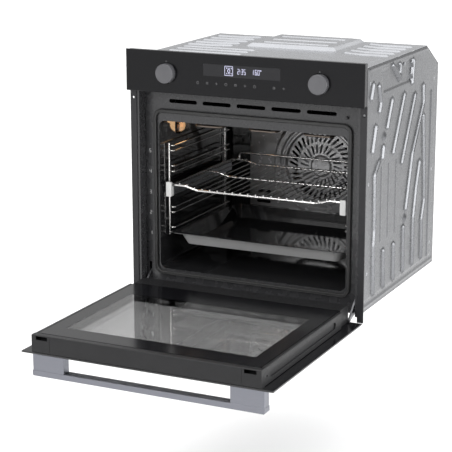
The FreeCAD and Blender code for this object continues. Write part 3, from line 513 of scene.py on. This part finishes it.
def build_side_panels():
    for name, side in (("left", -1), ("right", 1)):
        def place(u, v, h, side=side):
            return np.stack([side * (CASE_HALF + h), u, v], -1)

        panel = pressed_sheet("pressed_side_" + name, (SIDE_FRONT, SIDE_REAR),
                              (SIDE_BOTTOM, SIDE_TOP), place, side_height,
                              M["galvanised"], side_edge)
        if side < 0:
            panel.data.flip_normals()
        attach(panel, "oven_body")
        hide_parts("side_panel_" + name)


def build_top_cover():
    def place(u, v, h):
        return np.stack([u, v, CASE_TOP + h], -1)

    # Painted light: the top gets the lighter copy of the zinc sheet, standing in for the overhead
    # light falling on it.
    cover = pressed_sheet("pressed_top_cover", (-CASE_HALF, CASE_HALF), (SIDE_FRONT, TOP_REAR),
                          place, top_height, M["galvanised_painted_lit_top"])
    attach(cover, "oven_body")
    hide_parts("top_cover")


# ---- printed and lit details ----------------------------------------------------------------
def flat_piece(name, quads, material, body):
    """Thin closed plates: each quad is four corners of the front and a thickness vector."""
    points, faces = [], []
    for corners, depth in quads:
        n = len(points)
        points += [tuple(np.array(p) * MM) for p in corners]
        points += [tuple((np.array(p) + np.array(depth)) * MM) for p in corners]
        faces += [(n, n + 1, n + 2, n + 3), (n + 7, n + 6, n + 5, n + 4)]
        faces += [(n + (i + 1) % 4, n + i, n + 4 + i, n + 4 + (i + 1) % 4) for i in range(4)]
    mesh = bpy.data.meshes.new(name)
    mesh.from_pydata(points, [], faces)
    mesh.update()
    made = bpy.data.objects.new(name, mesh)
    bpy.context.scene.collection.objects.link(made)
    mesh.materials.append(material)
    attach(made, body)
    return made


def bar(x0, z0, x1, z1, width, y=PANEL_FACE_Y - PRINT_PROUD):
    """A printed stroke on the control panel from one point to another."""
    dx, dz = x1 - x0, z1 - z0
    length = math.hypot(dx, dz)
    nx, nz = -dz / length * width / 2, dx / length * width / 2
    corners = [(x0 + nx, y, z0 + nz), (x0 - nx, y, z0 - nz),
               (x1 - nx, y, z1 - nz), (x1 + nx, y, z1 + nz)]
    return corners, (0, PRINT_DEPTH, 0)


SEGMENTS = {"0": "abcdef", "1": "bc", "2": "abged", "3": "abgcd", "4": "fgbc", "5": "afgcd",
            "6": "afgedc"}
STROKES = {"a": ((0, 1), (1, 1)), "b": ((1, 1), (1, 0.5)), "c": ((1, 0.5), (1, 0)),
           "d": ((0, 0), (1, 0)), "e": ((0, 0), (0, 0.5)), "f": ((0, 0.5), (0, 1)),
           "g": ((0, 0.5), (1, 0.5))}


def digit(character, x, z, width, height, stroke):
    """Seven-segment strokes of one digit with its lower left corner at x, z."""
    made = []
    for name in SEGMENTS[character]:
        (u0, v0), (u1, v1) = STROKES[name]
        made.append(bar(x + u0 * width, z + v0 * height, x + u1 * width, z + v1 * height, stroke))
    return made


def dot(x, z, size):
    """A square printed dot."""
    return bar(x - size / 2, z, x + size / 2, z, size)


def ring(x, z, radius, stroke, sides=14):
    """A printed ring of short strokes."""
    made = []
    for i in range(sides):
        a, b = 2 * math.pi * i / sides, 2 * math.pi * (i + 1) / sides
        made.append(bar(x + radius * math.cos(a), z + radius * math.sin(a),
                        x + radius * math.cos(b), z + radius * math.sin(b), stroke))
    return made


def number(text, x, z, width, height, pitch, stroke):
    """Digits in a row. A colon is two dots in half a place."""
    made = []
    for character in text:
        if character == ":":
            made += [dot(x - 0.4, z + height * 0.3, 1.3), dot(x - 0.4, z + height * 0.65, 1.3)]
            x += pitch * 0.35
        else:
            shift = width * 0.5 if character == "1" else 0.0
            made += digit(character, x - shift, z, width, height, stroke)
            x += pitch
    return made


def build_display():
    """The lit clock, the temperature and a small picture of an oven with a heating mode."""
    lit = number("2:35", -9.2, 543.0, 3.8, 11.5, 6.6, 0.8)
    lit += number("160", 28.0, 544.0, 3.8, 11.0, 6.4, 0.8)
    lit += ring(48.0, 554.0, 1.3, 0.7, 8)
    left, right, low, high = -41.5, -21.5, 538.5, 559.5
    lit += [bar(left, low, right, low, 0.8), bar(left, high, right, high, 0.8)]
    lit += [bar(left, low, left, high, 0.8), bar(right, low, right, high, 0.8)]
    for i in range(4):
        x = left + 4 + 4 * i
        lit += [bar(x, low + 3, x + 1.5, low + 6, 1.0), bar(x, high - 3, x + 1.5, high - 6, 1.0)]
    lit += ring((left + right) / 2, (low + high) / 2, 3.2, 1.0)
    flat_piece("display_digits", lit, M["digits"], "oven_body")


def build_display_window():
    """A slightly paler field behind the digits."""
    middle = (DISPLAY_TOP + DISPLAY_BOTTOM) / 2
    height = DISPLAY_TOP - DISPLAY_BOTTOM
    window = [bar(-DISPLAY_HALF, middle, DISPLAY_HALF, middle, height, PANEL_FACE_Y - WINDOW_PROUD)]
    flat_piece("display_window", window, M["window"], "oven_body")


def build_icons():
    """The touch symbols below the display, with a gap before the last two, and the knob marks."""
    marks = []
    for i in range(9):
        x = ICON_FIRST_X + ICON_PITCH * (i + (i > 6))
        if i % 3 == 0:
            marks += ring(x, ICON_Z, ICON_HALF, 0.7)
            marks.append(bar(x, ICON_Z, x, ICON_Z + 2.2, 0.7))
        elif i % 3 == 1:
            for z in (ICON_Z - 2, ICON_Z, ICON_Z + 2):
                marks.append(bar(x - ICON_HALF, z, x + ICON_HALF, z, 0.8))
        else:
            marks.append(bar(x - ICON_HALF, ICON_Z, x + ICON_HALF, ICON_Z, 0.8))
            marks.append(bar(x, ICON_Z - ICON_HALF, x, ICON_Z + ICON_HALF, 0.8))
    for x in (KNOB_X, -KNOB_X):
        marks += ring(x, KNOB_Z + KNOB_MARK_UP, 1.4, 0.8)
    flat_piece("panel_symbols", marks, M["icons"], "oven_body")


def build_level_numerals():
    """The shelf level numbers printed on the frame beside the mouth."""
    strokes = []
    for level, height in enumerate(LEVELS, 1):
        for corners, depth in digit(str(level), NUMERAL_X, height - NUMERAL_DROP, 4.0, 8.0, 1.2):
            strokes.append(([(x, y - PANEL_FACE_Y, z) for x, y, z in corners], depth))
    flat_piece("level_numerals", strokes, M["numerals"], "oven_body")


# ---- stage -----------------------------------------------------------------------------------
def build_stage():
    """A plain pale floor, far enough below that it shows lit through the handle gap."""
    bpy.ops.mesh.primitive_plane_add(size=FLOOR_SIZE, location=(0, 0, FLOOR_Z * MM))
    floor = bpy.context.object
    floor.name = "floor"
    material, tree, shader = new_material("floor_paper")
    set_shader(shader, Base_Color=(0.9, 0.9, 0.9, 1), Roughness=0.8)
    floor.data.materials.append(material)


def area_light(name, location, target, size, power, tall=1.0):
    """A soft box aimed at a target. tall is its height over its width."""
    light = bpy.data.lights.new(name, "AREA")
    light.shape = "RECTANGLE"
    light.size = size
    light.size_y = size * tall
    light.energy = power
    lamp = bpy.data.objects.new(name, light)
    lamp.location = location
    direction = np.array(target) - np.array(location)
    lamp.rotation_euler = direction_to_euler(direction)
    bpy.context.scene.collection.objects.link(lamp)


def direction_to_euler(direction):
    """Rotation that points a lamp's or camera's -Z axis along a direction."""
    x, y, z = direction / np.linalg.norm(direction)
    return (math.acos(-z), 0.0, math.atan2(-x, y))


def build_world():
    """Bright overhead and behind the oven, dim in front, so that dark fronts stay dark."""
    world = bpy.data.worlds.new("studio_world")
    bpy.context.scene.world = world
    world.use_nodes = True
    tree = world.node_tree
    coordinates = tree.nodes.new("ShaderNodeTexCoord")
    separate = tree.nodes.new("ShaderNodeSeparateXYZ")
    tree.links.new(coordinates.outputs["Generated"], separate.inputs["Vector"])
    lighter = tree.nodes.new("ShaderNodeMix")
    lighter.data_type = "RGBA"
    lighter.blend_type = "LIGHTEN"
    lighter.inputs["Factor"].default_value = 1.0
    tree.links.new(ramp(tree, separate.outputs["Z"], 0.2, 0.8, 0.2, 0.8), lighter.inputs["A"])
    tree.links.new(ramp(tree, separate.outputs["Y"], 0.2, 0.62, 0.3, 0.8), lighter.inputs["B"])
    tree.links.new(lighter.outputs["Result"], tree.nodes["Background"].inputs["Color"])


def build_lights():
    """A key from the front left, a tall box on the right, a soft sun and the oven lamp."""
    area_light("key_light", (-0.9, -3.4, 1.9), (0, 0, 0.2), 1.2, 60)
    area_light("side_light", (2.9, 0.0, 0.8), (0.28, 0.25, 0.3), 1.5, 80, 1.6)
    sun = bpy.data.lights.new("overhead_light", "SUN")
    sun.energy = 2.6
    sun.angle = math.radians(110)
    holder = bpy.data.objects.new("overhead_light", sun)
    holder.rotation_euler = (math.radians(-12), math.radians(8), 0)
    bpy.context.scene.collection.objects.link(holder)
    glow = bpy.data.lights.new("oven_lamp_glow", "POINT")
    glow.energy = 0.06
    glow.color = (1.0, 0.6, 0.3)
    glow.shadow_soft_size = 0.02
    lamp = bpy.data.objects.new("oven_lamp_glow", glow)
    lamp.location = tuple(c * MM for c in LAMP)
    bpy.context.scene.collection.objects.link(lamp)


def build_camera():
    """The camera stands to the right of the oven and above it, looking down a little."""
    camera = bpy.data.cameras.new("camera")
    camera.sensor_width = 36.0
    camera.lens = 125.6
    camera.clip_end = 400.0
    holder = bpy.data.objects.new("camera", camera)
    holder.location = (1.5055, -3.2477, 1.0838)
    holder.rotation_euler = (math.radians(90 - 14.19), math.radians(0.1), math.radians(25.77))
    bpy.context.scene.collection.objects.link(holder)
    bpy.context.scene.camera = holder


dress_nodes()
build_side_panels()
build_top_cover()
build_display_window()
build_display()
build_icons()
build_level_numerals()
build_stage()
build_world()
build_lights()
build_camera()
bpy.context.scene.view_settings.view_transform = "Standard"
